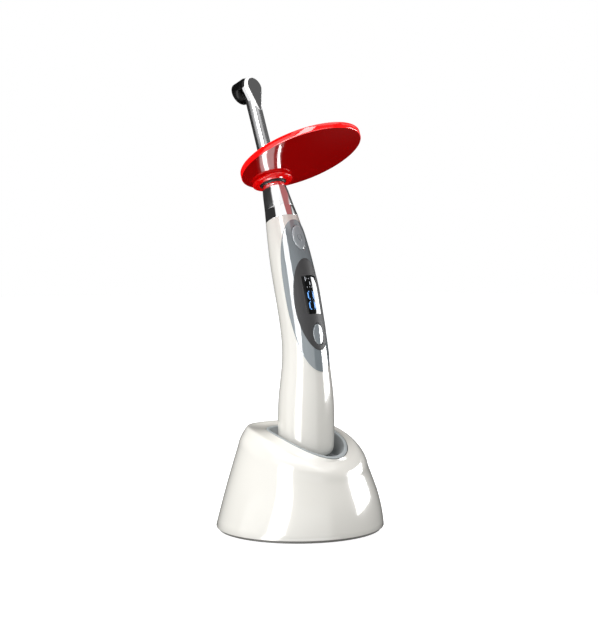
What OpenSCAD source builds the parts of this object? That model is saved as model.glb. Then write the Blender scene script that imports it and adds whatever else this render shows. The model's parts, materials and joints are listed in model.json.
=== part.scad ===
// Dental curing light: a leaning handpiece with a red oval light shield,
// standing in a white charging base.
// Frame: origin under the centre of the base, +Z up, +X towards the control panel.

/* [Charging base] */
// Length of the base at its foot, front to back
base_len = 83.2; // [80:0.2:85]
// Width of the base at its foot, side to side
base_wid = 86; // [84:0.5:89]
// Height of the base's raised rear lip
lip_z = 51.3; // [50:0.5:54]
// Inward lean of the base's wall, as a share of its width lost per millimetre of height
wall_taper = 0.0065; // [0.006:0.0001:0.0068]
// Outward belly of the base's front wall, halfway up
wall_belly = 1.8; // [0:0.1:2.4]
// Wall thickness of the base shell
base_wall = 2.2; // [1.8:0.1:2.6]
// Length of the oval well that takes the handpiece
well_len = 43.6; // [42:0.2:44]
// Width of the well
well_wid = 35.6; // [34:0.2:38]
// Height of the well's floor
well_floor = 36.1; // [35.8:0.1:36.3]

/* [Handpiece] */
// Wall thickness of the two handle shells
shell_wall = 1.8; // [1.4:0.1:2]
// Lean of the handle's top and of the light barrel, in degrees
neck_lean = 21; // [19:0.5:23]
// Height of the bottom face of the end cap
cap_z = 36.5; // [36.4:0.1:37]
// Edge rounding at the handle's foot
foot_round = 5; // [4:0.5:5]
// Radius of the charging plug under the end cap
plug_r = 8.5; // [8:0.1:8.6]
// Height of the charging plug's end face
plug_z = 24.2; // [24:0.1:24.5]
// Diameter of the rechargeable cell
cell_d = 14.2; // [13.8:0.1:14.3]

/* [Control panel] */
// Half-width of the grey overlay, as an angle round the handle
overlay_half = 73; // [68:1:78]
// Half-width of the dark display bezel, as an angle
bezel_half = 52; // [48:1:56]
// Half-width of the display lens, as an angle
lens_half = 23.4; // [22:0.1:26]
// Width and length of the power button
power_size = [7.5, 12.8];
// Width and length of the mode button
mode_size = [6.1, 10.3];
// Travel of both buttons
press = 0.5; // [0.3:0.1:0.6]

/* [Light barrel and shield] */
// Outer radius of the barrel's tube
tube_r = 3.75; // [3.5:0.05:4]
// Distance from the neck to the axis of the lamp head, along the barrel
head_s = 74.8; // [70:0.2:76]
// Radius of the lamp head
head_r = 6; // [5.6:0.1:6.2]
// Distance from the barrel's axis to the lamp's face
head_reach = 7.8; // [7.6:0.1:8.6]
// Turn of the lamp head about the barrel, in degrees
head_turn = 6; // [0:1:15]
// Length and width of the oval light shield
shield_size = [71.4, 53.8];
// Distance from the barrel's axis to the shield's centre
shield_offset = 24.3; // [21:0.1:25]
// Thickness of the shield
shield_t = 3.1; // [2.6:0.1:3.3]

/* [Hidden] */
$fn = 64;
eps = 0.02;

white = [0.93, 0.93, 0.9];
panel_grey = [0.56, 0.6, 0.62];
dark_grey = [0.2, 0.2, 0.21];
chrome = [0.8, 0.8, 0.82];
red = [0.85, 0.02, 0.02];
black = [0.05, 0.05, 0.06];
gold = [0.85, 0.68, 0.3];
board_green = [0.1, 0.35, 0.2];

// ---- base heights and plan ----
foot_t = 1.2;
shell_z = foot_t + 0.1;
plate_z = 1.4;
plate_t = 2;
well_x = 5;
lip_x = 1.8;
lip_half = [26.2, 25.4];
lip_full = 2.5;
shoulder_drop = 9;
boss = [21, 27.2];
board_z = 10.4;
board_t = 1.6;
standoff = [16, 9.5];
jack_z = 16.3;
jack_face = -36.7;
base_steps = 72;

// ---- handle centreline: [height, x, lean in degrees, radius] ----
handle = [
    [39.5, 4.6, 0, 13.55],
    [41.5, 4.6, 0, 13.95],
    [58, 4.6, 0, 14],
    [66, 4.6, 0, 13.65],
    [74, 4.55, 0.5, 12.8],
    [84, 4.2, 4.4, 11.75],
    [94, 3, 9.4, 11.15],
    [104, 0.9, 13.2, 10.95],
    [119, -3, 15.9, 10.9],
    [134, -7.65, 17.6, 10.4],
    [144, -10.85, 18.8, 9.6],
    [155, -14.55, 21, 8.35]
];
handle_x = 4.6;
neck = [-14.3, 0, 154.3];

// ---- control panel heights ----
overlay_z = [78.6, 151.2];
bezel_z = [87, 132.2];
lens_z = [104.6, 123.2];
power_z = 142;
mode_z = 95.3;
skin_gap = 0.06;
overlay_t = 0.25;
bezel_t = 0.4;
button_gap = 0.25;

// ---- boards inside the handle ----
hboard_mid = [-4.15, 0, 118.2];
hboard_lean = 15.2;
hboard_size = [11, 56, 1.2];
hboard_q = 3;

// ---- charging pins ----
pin_y = 4;
pin_r = 0.9;
pin_travel = 0.8;
pin_tip_z = plug_z - 0.1;
collar_z = 17.6;

function lerp(a, b, t) = a + (b - a) * t;
function last(v) = v[len(v) - 1];

// Piecewise cubic through the handle's stations, for column c at height z
function station(z) = min(len(handle) - 2, max(0, len([for (s = handle) if (s[0] <= z) s]) - 1));
function grade(i, c) =
    let (lo = max(0, i - 1), hi = min(len(handle) - 1, i + 1))
    (handle[hi][c] - handle[lo][c]) / (handle[hi][0] - handle[lo][0]);
function along(z, c) =
    let (i = station(z), h = handle[i + 1][0] - handle[i][0], t = (z - handle[i][0]) / h)
    (2 * pow(t, 3) - 3 * pow(t, 2) + 1) * handle[i][c]
    + (pow(t, 3) - 2 * pow(t, 2) + t) * h * grade(i, c)
    + (-2 * pow(t, 3) + 3 * pow(t, 2)) * handle[i + 1][c]
    + (pow(t, 3) - pow(t, 2)) * h * grade(i + 1, c);

// Point on the handle at an axis height and an angle from the front, "out" beyond the skin
function skin(z, ang, out) =
    let (lean = along(z, 2), r = along(z, 3) + out)
    [along(z, 1) + r * cos(ang) * cos(lean), r * sin(ang), z + r * cos(ang) * sin(lean)];

function oval_points(a, b, n = 72) = [for (i = [0:n - 1]) [a * cos(360 * i / n), b * sin(360 * i / n)]];

// ---- lofts ----
function quads(m, n, wrap) = [
    for (i = [0:m - (wrap ? 1 : 2)], j = [0:n - 1])
        let (a = i * n + j, b = i * n + (j + 1) % n,
             c = ((i + 1) % m) * n + (j + 1) % n, d = ((i + 1) % m) * n + j)
        each [[a, c, b], [a, d, c]]
];

// Tube-like solid whose section rings close on themselves, like a ring doughnut
module ring_loft(rings) {
    n = len(rings[0]);
    polyhedron([for (r = rings) each r], quads(len(rings), n, true), convexity = 6);
}

// Strip with thickness: each ring holds an outer row and the same row inside, reversed
module strip_loft(rings) {
    n = len(rings[0]);
    m = len(rings);
    half = n / 2;
    first_cap = [for (j = [0:half - 2]) each [[j, j + 1, n - 1 - j], [j + 1, n - 2 - j, n - 1 - j]]];
    end = (m - 1) * n;
    last_cap = [for (j = [0:half - 2]) each
        [[end + j, end + n - 2 - j, end + j + 1], [end + j, end + n - 1 - j, end + n - 2 - j]]];
    polyhedron([for (r = rings) each r], concat(quads(m, n, false), first_cap, last_cap), convexity = 8);
}

// Cuts and joins that are worked on one fine mesh
module as_mesh() {
    resize([0, 0, 0]) children();
}

// ---- placement ----
module on_panel(z) {
    translate([along(z, 1), 0, z]) rotate([0, -along(z, 2), 0]) rotate([90, 0, 90]) children();
}

module on_axis(s) {
    translate(neck) rotate([0, -neck_lean, 0]) translate([0, 0, s]) children();
}

// Lamp head: local z runs to the back of the head, local y along the barrel
module on_head(s = head_s) {
    on_axis(s) rotate([0, 0, head_turn]) rotate([90, 0, 90]) children();
}

module on_hboard() {
    translate(hboard_mid) rotate([0, -hboard_lean, 0]) rotate([90, 0, 90]) children();
}

module at_pins() {
    for (side = [-1, 1]) translate([handle_x, side * pin_y, 0]) children();
}

module oval_prism(size, z0, z1) {
    translate([0, 0, z0]) linear_extrude(z1 - z0) polygon(oval_points(size[0] / 2, size[1] / 2, 48));
}

// Slightly full oval that outlines the bezel, seen straight on
function full_oval(a, b, p, n = 64) = [for (i = [0:n - 1]) full_turn(360 * i / n, a, b, p)];

module bezel_prism(grow, z0, z1) {
    mid = (bezel_z[0] + bezel_z[1]) / 2;
    a = along(mid, 3) * sin(bezel_half) + grow;
    b = (bezel_z[1] - bezel_z[0]) / 2 * 1.035 + grow;
    on_panel(mid) translate([0, 0, z0]) linear_extrude(z1 - z0) polygon(full_oval(a, b, 2.15));
}

module base_oval(shrink, z0, z1) {
    translate([0, 0, z0]) linear_extrude(z1 - z0)
        polygon(oval_points(base_len / 2 - shrink, base_wid / 2 - shrink));
}

// ---- base shell ----
function wall_scale(z) = 1 - wall_taper * z;
function full_turn(t, a, b, p) = [a * sign(cos(t)) * pow(abs(cos(t)), 2 / p), b * sign(sin(t)) * pow(abs(sin(t)), 2 / p)];
function lip_plan(t) = [lip_x, 0] + full_turn(t, lip_half[0], lip_half[1], lip_full);
function lip_height(t) = lip_z - 0.0057 * pow(lip_plan(t)[0] + 24, 2);
function shoulder_z(t) = lip_height(t) - shoulder_drop;
function rim_height(x) = 49.3 - 0.0085 * pow(max(0, x + 10), 2);
function plan(k, t, shrink) = [(k * base_len / 2 - shrink) * cos(t), (k * base_wid / 2 - shrink) * sin(t)];
function rim_plan(grow, t) = [well_x + (well_len / 2 + grow) * cos(t), (well_wid / 2 + grow) * sin(t)];

// Wall point at share u of the way from the foot to the shoulder
function belly(u, t) = wall_belly * 4 * u * (1 - u) * (1 + cos(t)) / 2;
function wall_point(u, t, shrink) =
    let (z = lerp(shell_z, shoulder_z(t), u), p = plan(wall_scale(z), t, shrink - belly(u, t))) [p[0], p[1], z];
// Shoulder point at share u of the way from the wall to the lip
function shoulder_point(u, t, shrink) =
    let (roll = 1.35 + (1 + cos(t)) / 2,
         p = plan(wall_scale(shoulder_z(t)), t, 0),
         q = lerp(p, lip_plan(t), pow(u, roll)))
    [q[0] - shrink * cos(t), q[1] - shrink * sin(t), lerp(shoulder_z(t), lip_height(t), u) - shrink * u];
// Land between the lip and the well's rim
function land_point(u, t, drop) =
    let (p = lip_plan(t), q = rim_plan(0.9, t), dish = 0.5 * sin(180 * u) * (1 - cos(t)) / 2)
    [lerp(p[0], q[0], u), lerp(p[1], q[1], u), lerp(lip_height(t), rim_height(q[0]), u) - dish - drop];

function turn_ring(f) = [for (i = [0:base_steps - 1]) f(360 * i / base_steps)];

module base_shell_body() {
    ring_loft(concat(
        [turn_ring(function (t) let (p = plan(wall_scale(shell_z), t, 0.3)) [p[0], p[1], shell_z])],
        [for (u = [0.015, 0.2, 0.4, 0.6, 0.8, 1]) turn_ring(function (t) wall_point(u, t, 0))],
        [for (u = [0.2, 0.4, 0.6, 0.75, 0.88, 1]) turn_ring(function (t) shoulder_point(u, t, 0))],
        [for (u = [0.25, 0.5, 0.75, 1]) turn_ring(function (t) land_point(u, t, 0))],
        [for (u = [1, 0.6, 0.3]) turn_ring(function (t) land_point(u, t, base_wall))],
        [for (u = [0.7, 0.3]) turn_ring(function (t) shoulder_point(u, t, base_wall))],
        [for (u = [1, 0.66, 0.33, 0]) turn_ring(function (t) wall_point(u, t, base_wall))]
    ));
}

module base_shell() {
    color(white) as_mesh() difference() {
        union() {
            base_shell_body();
            for (x = [-1, 1], y = [-1, 1]) translate([x * boss[0], y * boss[1], 3.6])
                cylinder(r = 3.2, h = 8.4, $fn = 24);
        }
        for (x = [-1, 1], y = [-1, 1]) translate([x * boss[0], y * boss[1], 3])
            cylinder(r = 1.4, h = 7.4, $fn = 24);
        translate([jack_face - 3, 0, jack_z]) rotate([0, 90, 0]) cylinder(r = 4.2, h = 8, $fn = 32);
    }
}

module foot_pad() {
    color(black) base_oval(1.8, 0, foot_t);
}

module base_plate() {
    color(dark_grey) difference() {
        union() {
            base_oval(3.2, plate_z, plate_z + plate_t);
            for (x = [-1, 1], y = [-1, 1]) translate([x * standoff[0], y * standoff[1], plate_z + 1])
                cylinder(r = 2.2, h = board_z - plate_z - 1);
        }
        for (x = [-1, 1], y = [-1, 1]) {
            translate([x * boss[0], y * boss[1], plate_z - 1]) cylinder(r = 1.4, h = plate_t + 2);
            translate([x * boss[0], y * boss[1], plate_z - 1]) cylinder(r = 2.6, h = 2.05);
            translate([x * standoff[0], y * standoff[1], 4]) cylinder(r = 0.95, h = 10);
        }
    }
}

module base_screws() {
    color(chrome) for (x = [-1, 1], y = [-1, 1]) translate([x * boss[0], y * boss[1], 0]) difference() {
        union() {
            translate([0, 0, plate_z + 0.05]) cylinder(r = 2.4, h = 0.95);
            translate([0, 0, plate_z + 0.9]) cylinder(r = 1.25, h = 7);
        }
        translate([0, 0, plate_z]) cylinder(r = 1, h = 0.6, $fn = 6);
    }
}

// Rim ring of the well at depth share u, shrunk by "inset"
function cup_ring(z, grow, u) = turn_ring(function (t)
    let (top = rim_plan(grow, t),
         low = [handle_x + (16.6 + grow) * cos(t), (16 + grow) * sin(t)],
         zt = rim_height(top[0]) + 0.15)
    [lerp(top[0], low[0], u), lerp(top[1], low[1], u), lerp(zt, z, u)]);
function circle_ring(r, z) = turn_ring(function (t) [handle_x + r * cos(t), r * sin(t), z]);

module well_cup() {
    under = well_floor - 2;
    color([0.36, 0.39, 0.41]) ring_loft(concat(
        [circle_ring(11.2, under)],
        [for (u = [1, 0.6, 0.3, 0]) cup_ring(under, 0.7, u)],
        [for (u = [0, 0.3, 0.6, 0.85, 1]) cup_ring(well_floor, -0.9, u)],
        [circle_ring(11.2, well_floor)]
    ));
}

module charge_socket() {
    floor_top = plug_z - 0.7;
    color(black) translate([handle_x, 0, 0]) difference() {
        union() {
            translate([0, 0, floor_top - 2.2]) cylinder(r = 11, h = well_floor - floor_top + 2.2);
            translate([0, 0, well_floor - 3.8]) cylinder(r = 13, h = 1.7);
        }
        translate([0, 0, floor_top]) cylinder(r = plug_r + 0.3, h = 30);
        for (side = [-1, 1]) translate([0, side * pin_y, floor_top - 5]) cylinder(r = 1.2, h = 10);
    }
}

module ballast_plate() {
    color([0.45, 0.45, 0.47]) difference() {
        translate([0, 0, plate_z + plate_t + 0.1]) linear_extrude(3.6) polygon(oval_points(27, 29));
        for (x = [-1, 1], y = [-1, 1]) translate([x * standoff[0], y * standoff[1], 0]) cylinder(r = 2.5, h = 12);
    }
}

module charge_board() {
    color(board_green) difference() {
        translate([-30.5, -13, board_z + 0.05]) cube([50, 26, board_t - 0.05]);
        for (x = [-1, 1], y = [-1, 1]) translate([x * standoff[0], y * standoff[1], 0]) cylinder(r = 1.1, h = 20);
    }
}

module board_screws() {
    color(chrome) for (x = [-1, 1], y = [-1, 1]) translate([x * standoff[0], y * standoff[1], 0]) difference() {
        union() {
            translate([0, 0, 5]) cylinder(r = 0.85, h = board_z + board_t - 4.9);
            translate([0, 0, board_z + board_t]) cylinder(r = 1.8, h = 1.2);
        }
        translate([0, 0, board_z + board_t + 0.6]) cylinder(r = 0.8, h = 2, $fn = 6);
    }
}

module dc_jack() {
    color(black) difference() {
        union() {
            translate([-30.6, -4.5, board_z + board_t]) cube([12, 9, 8.8]);
            translate([jack_face, 0, jack_z]) rotate([0, 90, 0]) cylinder(r = 3.9, h = 7);
        }
        translate([jack_face - 1, 0, jack_z]) rotate([0, 90, 0]) cylinder(r = 3, h = 11);
    }
    color(chrome) translate([jack_face + 1.2, 0, jack_z]) rotate([0, 90, 0]) cylinder(r = 1, h = 10);
}

module pin_barrels() {
    z0 = board_z + board_t;
    color(gold) at_pins() difference() {
        translate([0, 0, z0]) cylinder(r = 2, h = 8.3);
        translate([0, 0, z0 + 0.8]) cylinder(r = 1.55, h = collar_z + 0.9 - z0 - 0.8);
        translate([0, 0, z0 + 1]) cylinder(r = pin_r + 0.05, h = 12);
    }
}

module charge_pin(side) {
    color(gold) translate([handle_x, side * pin_y, 0]) union() {
        translate([0, 0, collar_z]) cylinder(r = 1.4, h = 0.8);
        translate([0, 0, collar_z - 1]) cylinder(r = 0.55, h = 1.2);
        translate([0, 0, collar_z + 0.7]) cylinder(r = pin_r, h = pin_tip_z - collar_z - 1);
        translate([0, 0, pin_tip_z - 0.31]) cylinder(r1 = pin_r, r2 = 0.6, h = 0.31);
    }
}
module charge_pin_left() charge_pin(1);
module charge_pin_right() charge_pin(-1);

// Fine coil spring between the barrel's floor and the pin's collar
module pin_spring(side) {
    z0 = board_z + board_t + 1;
    rise = collar_z - 0.2 - z0;
    turns = 5;
    steps = 50;
    wire = 0.16;
    rings = [for (i = [0:steps]) let (a = 360 * turns * i / steps)
        [for (k = [0:5]) let (b = 60 * k, r = 1.1 + wire * cos(b))
            [handle_x + r * cos(a), side * pin_y + r * sin(a), z0 + wire + (rise - 2 * wire) * i / steps + wire * sin(b)]]];
    end = steps * 6;
    color(chrome) polyhedron([for (r = rings) each r],
        concat([for (f = quads(steps + 1, 6, false)) [f[0], f[2], f[1]]],
            [[0, 1, 2, 3, 4, 5], [end + 5, end + 4, end + 3, end + 2, end + 1, end]]));
}
module pin_spring_left() pin_spring(1);
module pin_spring_right() pin_spring(-1);

// ---- handle ----
shell_heights = concat([39.5, 40.2, 40.8, 41.5], [for (z = [46:4:150]) z], [152, 153.9]);

module half_shell(from) {
    n = 20;
    strip_loft([for (z = shell_heights) concat(
        [for (j = [0:n]) skin(z, from + 180 * j / n, 0)],
        [for (j = [n:-1:0]) skin(z, from + 180 * j / n, -shell_wall)])]);
}

module rear_shell() {
    color(white) half_shell(90);
}

module front_shell() {
    color(white) as_mesh() difference() {
        half_shell(-90);
        on_panel(power_z) oval_prism(power_size + [0.6, 0.6], 4, 14);
        on_panel(mode_z) oval_prism(mode_size + [0.6, 0.6], 4, 16);
        on_panel((lens_z[0] + lens_z[1]) / 2) translate([-4.2, -9.3, 4]) cube([8.4, 18.6, 12]);
    }
}

function patch_row(z, half, inner, outer, n) = concat(
    [for (j = [0:n]) skin(z, half * (2 * j / n - 1), outer)],
    [for (j = [n:-1:0]) skin(z, half * (2 * j / n - 1), inner)]);

// Oval patch on the skin; "full" above 2 squares its top end a little
module oval_patch(span, half, inner, outer, full, m = 26, n = 16) {
    mid = (span[0] + span[1]) / 2;
    reach = (span[1] - span[0]) / 2;
    strip_loft([for (i = [0:m]) let (u = 0.998 * sin(180 * i / m - 90),
            p = u > 0 ? full : 2,
            w = half * pow(1 - pow(abs(u), p), 1 / p))
        patch_row(mid + reach * u, w, inner, outer, n)]);
}

module control_overlay() {
    color(panel_grey) as_mesh() difference() {
        oval_patch(overlay_z, overlay_half, skin_gap, skin_gap + overlay_t, 2.4);
        bezel_prism(0.1, 2, 16);
        on_panel(power_z) oval_prism(power_size + [2, 2] * button_gap, 4, 14);
    }
}

module display_bezel() {
    color(dark_grey) as_mesh() difference() {
        intersection() {
            strip_loft([for (z = [84:4:136]) patch_row(z, bezel_half + 6, skin_gap, skin_gap + bezel_t, 16)]);
            bezel_prism(0, 2, 16);
        }
        on_panel(mode_z) oval_prism(mode_size + [2, 2] * button_gap, 4, 16);
        strip_loft([for (z = [lens_z[0] - 0.08, lens_z[1] + 0.08]) patch_row(z, lens_half + 0.5, -1, 2, 10)]);
    }
}

module display_lens() {
    color(black) strip_loft([for (i = [0:6]) patch_row(lerp(lens_z[0], lens_z[1], i / 6), lens_half,
        skin_gap, skin_gap + bezel_t, 10)]);
}

// Oval cap with a crowned top; local z runs outwards from the handle's axis
module button_cap(z, size) {
    r = along(z, 3);
    on_panel(z) {
        intersection() {
            oval_prism(size, r - 3.7, r + 2);
            rotate([90, 0, 0]) translate([0, 0, -20]) cylinder(r = r + 0.7, h = 40);
        }
        translate([-2.6, -size[1] / 2 - 0.5, r - 3.7]) cube([5.2, size[1] + 1, 0.6]);
    }
}

module power_button() {
    color(panel_grey) button_cap(power_z, power_size);
}

module mode_button() {
    color([0.75, 0.77, 0.78]) button_cap(mode_z, mode_size);
}

module end_cap() {
    round_mid = handle[1][3] - foot_round;
    arc = [for (a = [-90:10:-24]) [round_mid + foot_round * cos(a), cap_z + foot_round + foot_round * sin(a)]];
    color(white) translate([handle_x, 0, 0]) difference() {
        rotate_extrude() polygon(concat(
            [[0, plug_z], [plug_r - 0.5, plug_z], [plug_r, plug_z + 0.5], [plug_r, cap_z]],
            arc,
            [[13.5, 39.45], [11.6, 39.45], [11.6, 42.4], [10.3, 42.4], [10.3, 39], [6.5, 38.5], [6.5, 27.2], [0, 27.2]]));
        for (side = [-1, 1]) translate([0, side * pin_y, 0]) {
            cylinder(r = 1.8, h = plug_z + 0.5);
            cylinder(r = 0.7, h = 30);
        }
    }
}

module charge_pads() {
    color(gold) at_pins() union() {
        translate([0, 0, plug_z]) cylinder(r = 1.7, h = 0.45);
        translate([0, 0, plug_z + 0.4]) cylinder(r = 0.6, h = 5);
    }
}

module inner_frame() {
    color([0.3, 0.3, 0.32]) {
        translate([handle_x, 0, 42.6]) difference() {
            cylinder(r = 11.4, h = 1.2);
            for (side = [-1, 1]) translate([0, side * pin_y, -1]) cylinder(r = 1.2, h = 4);
        }
        translate([handle_x, 0, 43.7]) rotate([0, 0, 90]) rotate_extrude(angle = 180)
            translate([cell_d / 2 + 0.15, 0]) square([1.2, 43]);
        translate([handle_x, 0, 86.6]) difference() {
            cylinder(r = 8.4, h = 1.2);
            translate([3, -9, -1]) cube([9, 18, 4]);
        }
        on_hboard() translate([-3.5, -32, hboard_q - 2.7]) cube([7, 58, 1.2]);
    }
}

module battery_cell() {
    color([0.15, 0.35, 0.6]) translate([handle_x, 0, 44.2]) union() {
        cylinder(r = cell_d / 2, h = 40.9);
        cylinder(r = 2.8, h = 41.8);
    }
}

module battery_contacts() {
    color(gold) {
        translate([handle_x - 4, -2.5, 43.82]) cube([8, 5, 0.35]);
        translate([handle_x - 4, -2, 86.05]) cube([6.8, 4, 0.5]);
    }
}

module main_board() {
    color(board_green) on_hboard() translate([-hboard_size[0] / 2, -hboard_size[1] / 2, hboard_q]) cube(hboard_size);
}

module on_board_top(y) {
    on_hboard() translate([0, y, hboard_q + hboard_size[2]]) children();
}

module display_module() {
    color(black) on_board_top(-4.8) translate([-4, -9, 0.05]) cube([8, 18, 6.6]);
}

module control_chips() {
    color(black) {
        on_hboard() translate([-3, -12, hboard_q - 1.3]) cube([6, 6, 1.25]);
        on_hboard() translate([-2.5, 2, hboard_q - 1.3]) cube([5, 8, 1.25]);
        on_hboard() translate([-2, 16, hboard_q - 1.3]) cube([4, 5, 1.25]);
    }
}

module buzzer() {
    color(black) on_board_top(13.2) translate([0, 0, 0.05]) difference() {
        cylinder(r = 3.2, h = 3);
        translate([0, 0, 2]) cylinder(r = 0.6, h = 2);
    }
}

module tact_switch(y, top) {
    on_board_top(y) {
        translate([-3, -3, 0.05]) cube([6, 6, top - 0.8]);
        cylinder(r = 1.5, h = top);
    }
}

module power_switch() {
    color([0.6, 0.6, 0.62]) tact_switch(24.2, 1.6);
}

module mode_switch() {
    color([0.6, 0.6, 0.62]) tact_switch(-23.6, 3);
}

// ---- neck, barrel and head ----
module neck_ring() {
    color(chrome) on_axis(0) rotate_extrude() polygon([[5.05, -4.6], [6.2, -4.6], [6.2, -0.36], [8.43, -0.36],
        [8.45, -0.15], [7.62, 5.6], [7.56, 5.65], [5.05, 5.65]]);
}

// Teardrop outline of the head's back plate, in the plate's plane
module teardrop(r, tip) {
    hull() {
        circle(r = r, $fn = 48);
        translate([0, -13.2]) circle(r = tip, $fn = 24);
    }
}

module barrel() {
    color(chrome) difference() {
        union() {
            on_axis(0) rotate_extrude() polygon([[0, -6.2], [5, -6.2], [5, -5.6], [4.4, -5.6], [4.4, -4.8],
                [5, -4.8], [5, 3], [4.3, 3], [4.3, 4.2], [5, 4.2], [5, 5.8], [7.54, 5.8], [7.58, 5.86],
                [6.62, 14.4], [6.02, 17.9], [5.9, 18.05], [5.72, 19.2], [5.3, 22], [4.75, 26], [4.3, 30], [4, 35],
                [tube_r + 0.05, 42], [tube_r, 50], [tube_r, 70.4], [3.3, 72.2], [2.2, 73.4], [0, 73.9]]);
            on_head(head_s - 0.8) hull() {
                translate([0, 0, 0.7]) linear_extrude(1.7) teardrop(head_r, 1.6);
                translate([0, 0, 3.65]) linear_extrude(0.05) teardrop(head_r - 1.2, 0.5);
            }
        }
        on_axis(-8) cylinder(r = 2.9, h = 26);
        on_axis(-8) cylinder(r = 2.2, h = 78);
    }
}

module neck_clip() {
    color(chrome) on_axis(-5.55) difference() {
        cylinder(r = 6, h = 0.7);
        translate([0, 0, -1]) cylinder(r = 4.45, h = 3);
        translate([3, -1.5, -1]) cube([6, 3, 3]);
    }
}

module neck_oring() {
    color(black) on_axis(3.6) rotate_extrude() translate([4.66, 0]) circle(r = 0.34, $fn = 24);
}

module head_housing() {
    cut = 2.9;
    color(black) difference() {
        on_head() translate([0, 0, 1.4 - head_reach]) cylinder(r = head_r, h = head_reach - 0.75);
        on_head() translate([-10, -20, -cut]) cube([20, 19.4, 10]);
        on_axis(0) cylinder(r = tube_r + 0.05, h = head_s + 0.1);
        on_head() translate([0, 0, -head_reach]) cylinder(r = 4.8, h = head_reach - cut - 1);
    }
}

module heat_slug() {
    color([0.7, 0.7, 0.7]) on_head() translate([0, 0, -3.95]) difference() {
        translate([0, 0, -1.3]) cylinder(r = 4.7, h = 1.2);
        for (x = [-1, 1]) translate([x * 3.6, 0, -2]) cylinder(r = 0.4, h = 3);
    }
}

module led_die() {
    color([0.95, 0.85, 0.4]) on_head() translate([-1.75, -1.75, -5.78]) cube([3.5, 3.5, 0.5]);
}

module head_lens() {
    color([0.8, 0.88, 0.95, 0.5]) on_head() translate([0, 0, -head_reach]) rotate_extrude()
        polygon([[0, 0.35], [2, 0.45], [4, 0.8], [4, 1.1], [4.7, 1.1], [4.7, 1.9], [0, 1.9]]);
}

module lens_ring() {
    color(black) on_head() translate([0, 0, -head_reach]) rotate_extrude()
        polygon([[4.05, 0.3], [4.4, 0], [5.9, 0], [head_r + 0.15, 0.3], [head_r + 0.15, 1.3], [4.85, 1.3],
            [4.85, 1], [4.05, 1]]);
}

module lead_wires() {
    color("firebrick") on_axis(0) for (y = [-1, 1]) translate([0, 1.1 * y, -5.6]) cylinder(r = 0.6, h = 73.6);
}

// ---- light shield ----
shield_s = 22.4;

module shield_liner() {
    color(black) on_axis(0) rotate_extrude() polygon([[5.85, 19.5], [6.15, 19.4], [6.3, 19.6], [6.3, 20.3],
        [7, 20.4], [7, 25.6], [5.5, 25.6], [5.5, 22], [5.85, 20.5]]);
}

module shield_grommet() {
    lobe = [for (a = [-90:15:75]) [8.9 + 1.6 * cos(a), 21.2 + 1.18 * sin(a)]];
    color(red) on_axis(0) rotate_extrude() polygon(concat([[7.06, 20.2], [7.6, 20.02]], lobe,
        [[9.2, shield_s - 0.02], [7.45, shield_s - 0.02],
         [7.45, shield_s + shield_t + 0.02], [8.3, shield_s + shield_t + 0.02], [8.1, 26.4], [7.06, 26.4]]));
}

module shield_disc() {
    a = shield_size[0] / 2;
    b = shield_size[1] / 2;
    edge = 0.5;
    color(red) on_axis(shield_s) difference() {
        translate([shield_offset, 0, 0]) {
            translate([0, 0, edge]) linear_extrude(shield_t - 2 * edge) polygon(oval_points(a, b, 96));
            linear_extrude(shield_t) polygon(oval_points(a - edge, b - edge, 96));
        }
        translate([0, 0, -1]) cylinder(r = 7.5, h = shield_t + 2);
    }
}

foot_pad();
base_plate();
base_screws();
base_shell();
well_cup();
charge_socket();
ballast_plate();
charge_board();
board_screws();
dc_jack();
pin_barrels();
charge_pin_left();
charge_pin_right();
pin_spring_left();
pin_spring_right();
front_shell();
rear_shell();
end_cap();
charge_pads();
inner_frame();
battery_cell();
battery_contacts();
main_board();
control_chips();
buzzer();
power_switch();
mode_switch();
power_button();
mode_button();
control_overlay();
display_bezel();
display_lens();
display_module();
neck_ring();
barrel();
neck_clip();
neck_oring();
head_housing();
heat_slug();
led_die();
head_lens();
lens_ring();
lead_wires();
shield_liner();
shield_grommet();
shield_disc();
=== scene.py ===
"""Looks of the dental curing light: fine meshes, procedural materials, studio light and camera.

Lengths are in millimetres in the part's frame, and the mesh helpers turn them into metres. Angles are
in degrees.
"""

import json
import math

import bmesh
import bpy
from mathutils import Matrix, Vector


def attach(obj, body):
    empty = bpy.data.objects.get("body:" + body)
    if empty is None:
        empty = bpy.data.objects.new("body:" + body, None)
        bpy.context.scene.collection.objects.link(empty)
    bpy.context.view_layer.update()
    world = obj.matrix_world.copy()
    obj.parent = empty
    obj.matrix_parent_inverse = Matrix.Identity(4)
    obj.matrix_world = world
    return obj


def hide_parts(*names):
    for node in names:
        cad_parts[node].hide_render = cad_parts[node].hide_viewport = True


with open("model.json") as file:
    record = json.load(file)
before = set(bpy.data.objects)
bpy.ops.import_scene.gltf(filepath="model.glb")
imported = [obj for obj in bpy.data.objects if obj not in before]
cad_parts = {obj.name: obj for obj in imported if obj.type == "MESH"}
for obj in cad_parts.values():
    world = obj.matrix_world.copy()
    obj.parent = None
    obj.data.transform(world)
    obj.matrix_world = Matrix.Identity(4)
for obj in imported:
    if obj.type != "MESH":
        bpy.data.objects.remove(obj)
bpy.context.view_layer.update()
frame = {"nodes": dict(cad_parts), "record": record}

MM = 0.001


# ---------------------------------------------------------------- small maths
def cosd(a):
    return math.cos(math.radians(a))


def sind(a):
    return math.sin(math.radians(a))


def lerp(a, b, t):
    return a + (b - a) * t


def mix(p, q, t):
    return [lerp(a, b, t) for a, b in zip(p, q)]


def steps(n):
    """n + 1 shares from 0 to 1."""
    return [i / n for i in range(n + 1)]


def turn(n):
    """n angles round a full circle, in degrees."""
    return [360 * i / n for i in range(n)]


def signed_power(v, e):
    return math.copysign(abs(v) ** e, v)


def full_oval(a, b, fullness, t):
    """Point of an oval at angle t; a fullness above 2 squares it a little."""
    e = 2 / fullness
    return [a * signed_power(cosd(t), e), b * signed_power(sind(t), e)]


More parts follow.
